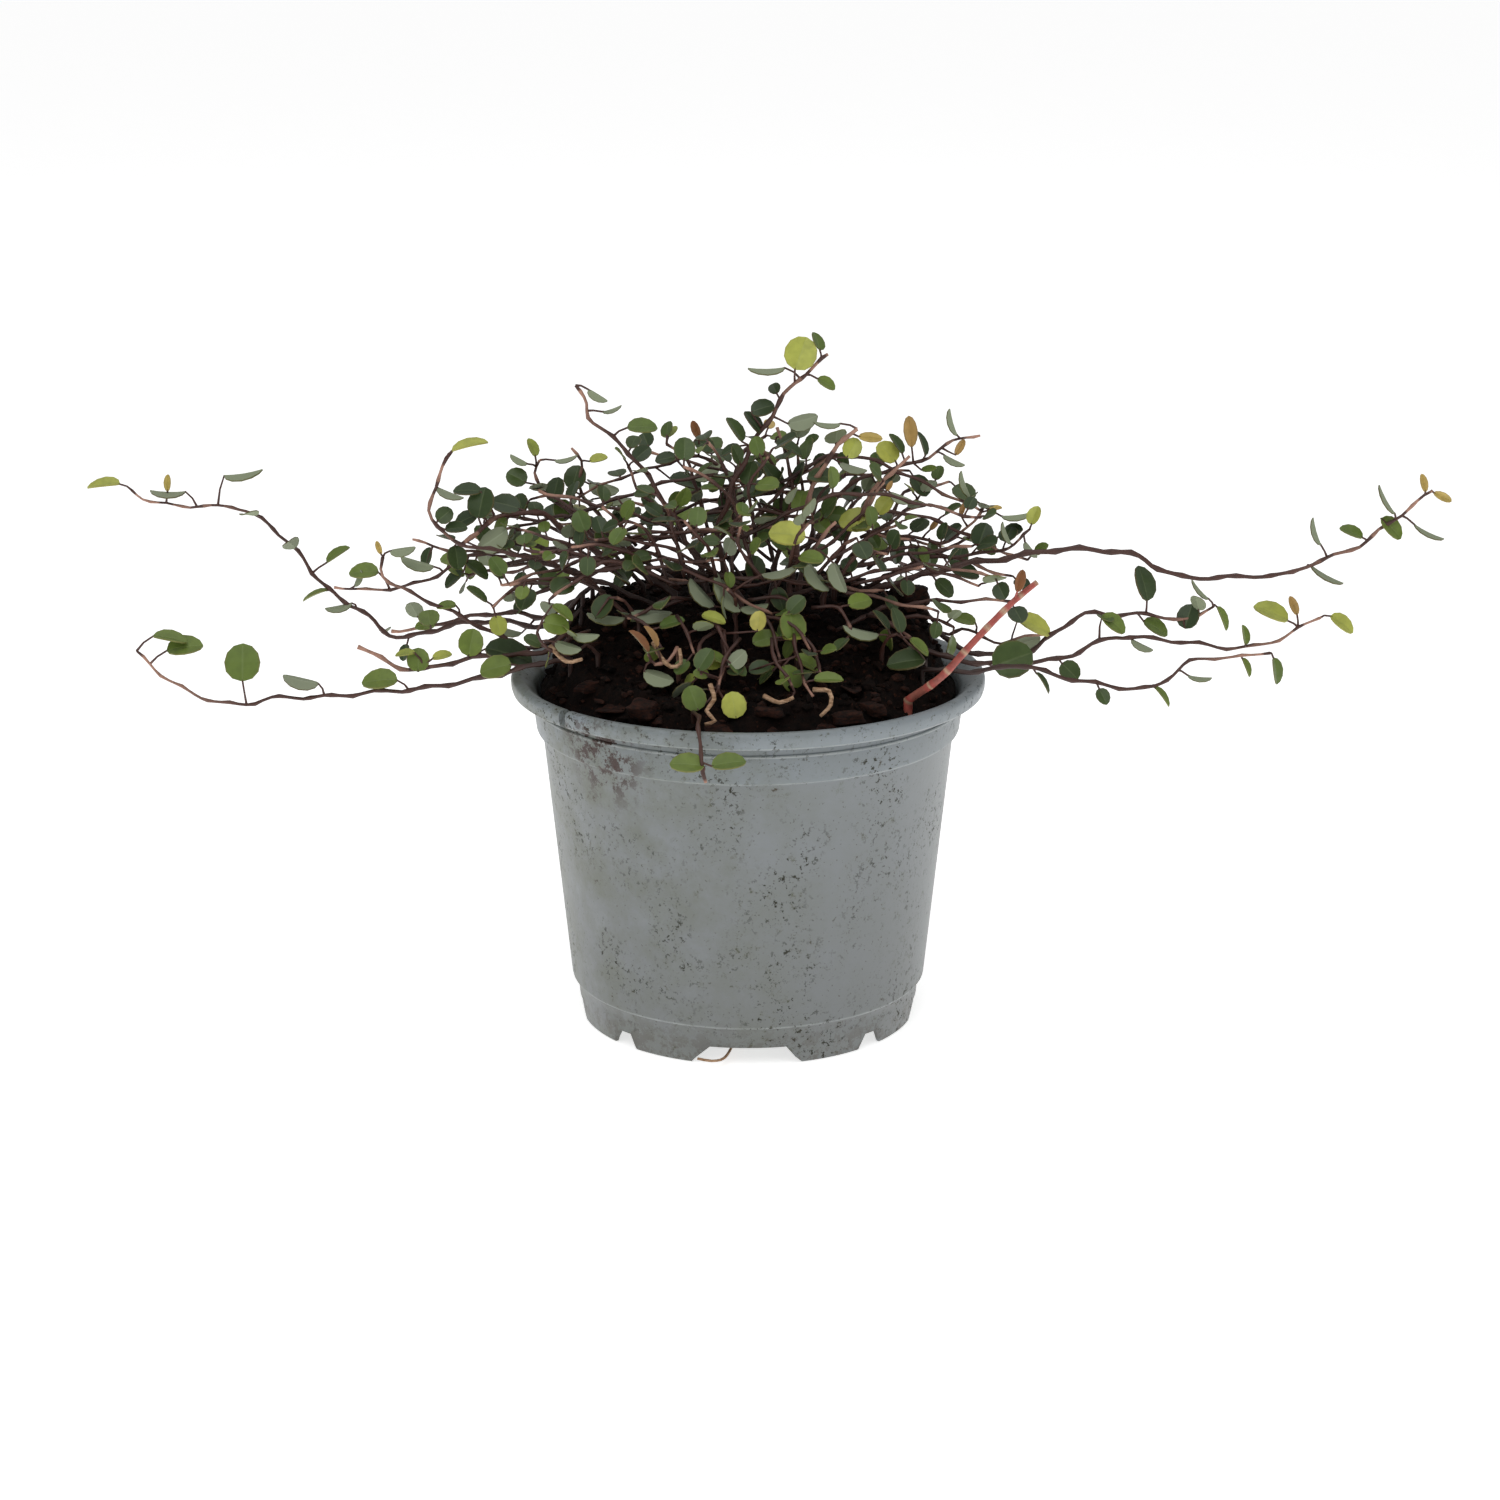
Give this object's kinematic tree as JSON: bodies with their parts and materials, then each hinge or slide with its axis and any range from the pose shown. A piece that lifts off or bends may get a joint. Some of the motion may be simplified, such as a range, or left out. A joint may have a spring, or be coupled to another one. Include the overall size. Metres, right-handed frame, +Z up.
{
  "type": "potted wire vine",
  "caption": "Young wiry creeping vine with small round leaves on thin arching stems, growing in a round nursery pot with a curled rim and a slotted foot ring.",
  "frame": {"origin": "centre of the overall box in plan, on the pot's axis, at the level of the feet", "axes": "+Z up; +X across the pot along the longest spread of the stems; -Y toward the side where the front leaves hang over the rim"},
  "size_m": [0.3439, 0.1311, 0.1742],
  "materials": {
    "grey_polypropylene": "moulded, faintly glossy",
    "peat": "matte, crumbly",
    "vine": "satin leaves on dark wiry stems",
    "bark": "rough",
    "straw": "dry, matte"
  },
  "bodies": {
    "root": {"nursery_pot": "grey_polypropylene", "peat_root_ball": "peat", "bark_chip_1": "bark", "bark_chip_2": "bark", "bark_chip_3": "bark", "bark_chip_4": "bark", "bark_chip_5": "bark", "bark_chip_6": "bark", "bark_chip_7": "bark", "dry_leaf_1": "straw", "dry_leaf_2": "straw", "dry_leaf_3": "straw", "dry_leaf_4": "straw", "stray_root": "straw", "far_left_runner": "vine", "left_twin_runner": "vine", "left_forked_branch": "vine", "left_link_branch": "vine", "low_left_runner": "vine", "pink_tip_left": "vine", "left_arch": "vine", "tall_left_shoot": "vine", "left_level_branch": "vine", "left_rising_shoot": "vine", "left_top_twig": "vine", "long_diagonal_shoot": "vine", "top_cross_link": "vine", "inner_left_shoot": "vine", "top_shoot": "vine", "centre_dark_shoot": "vine", "pale_pink_shoot": "vine", "upper_right_branch": "vine", "right_pink_shoot": "vine", "bright_leaf_shoot": "vine", "far_right_runner": "vine", "right_level_branch": "vine", "right_middle_branch": "vine", "right_fan_upper": "vine", "right_fan_middle": "vine", "right_fan_lower": "vine", "right_loop_twig": "vine", "red_jointed_shoot": "vine", "rim_trailer": "vine", "front_centre_shoot": "vine", "front_right_shoot": "vine", "front_left_shoot": "vine", "front_left_leafy": "vine", "front_dry_fork": "vine", "front_grey_leaves": "vine", "right_soil_shoot": "vine", "back_left_trailer": "vine", "back_right_trailer": "vine", "back_centre_shoot": "vine", "back_low_shoot": "vine"}
  },
  "joints": []
}
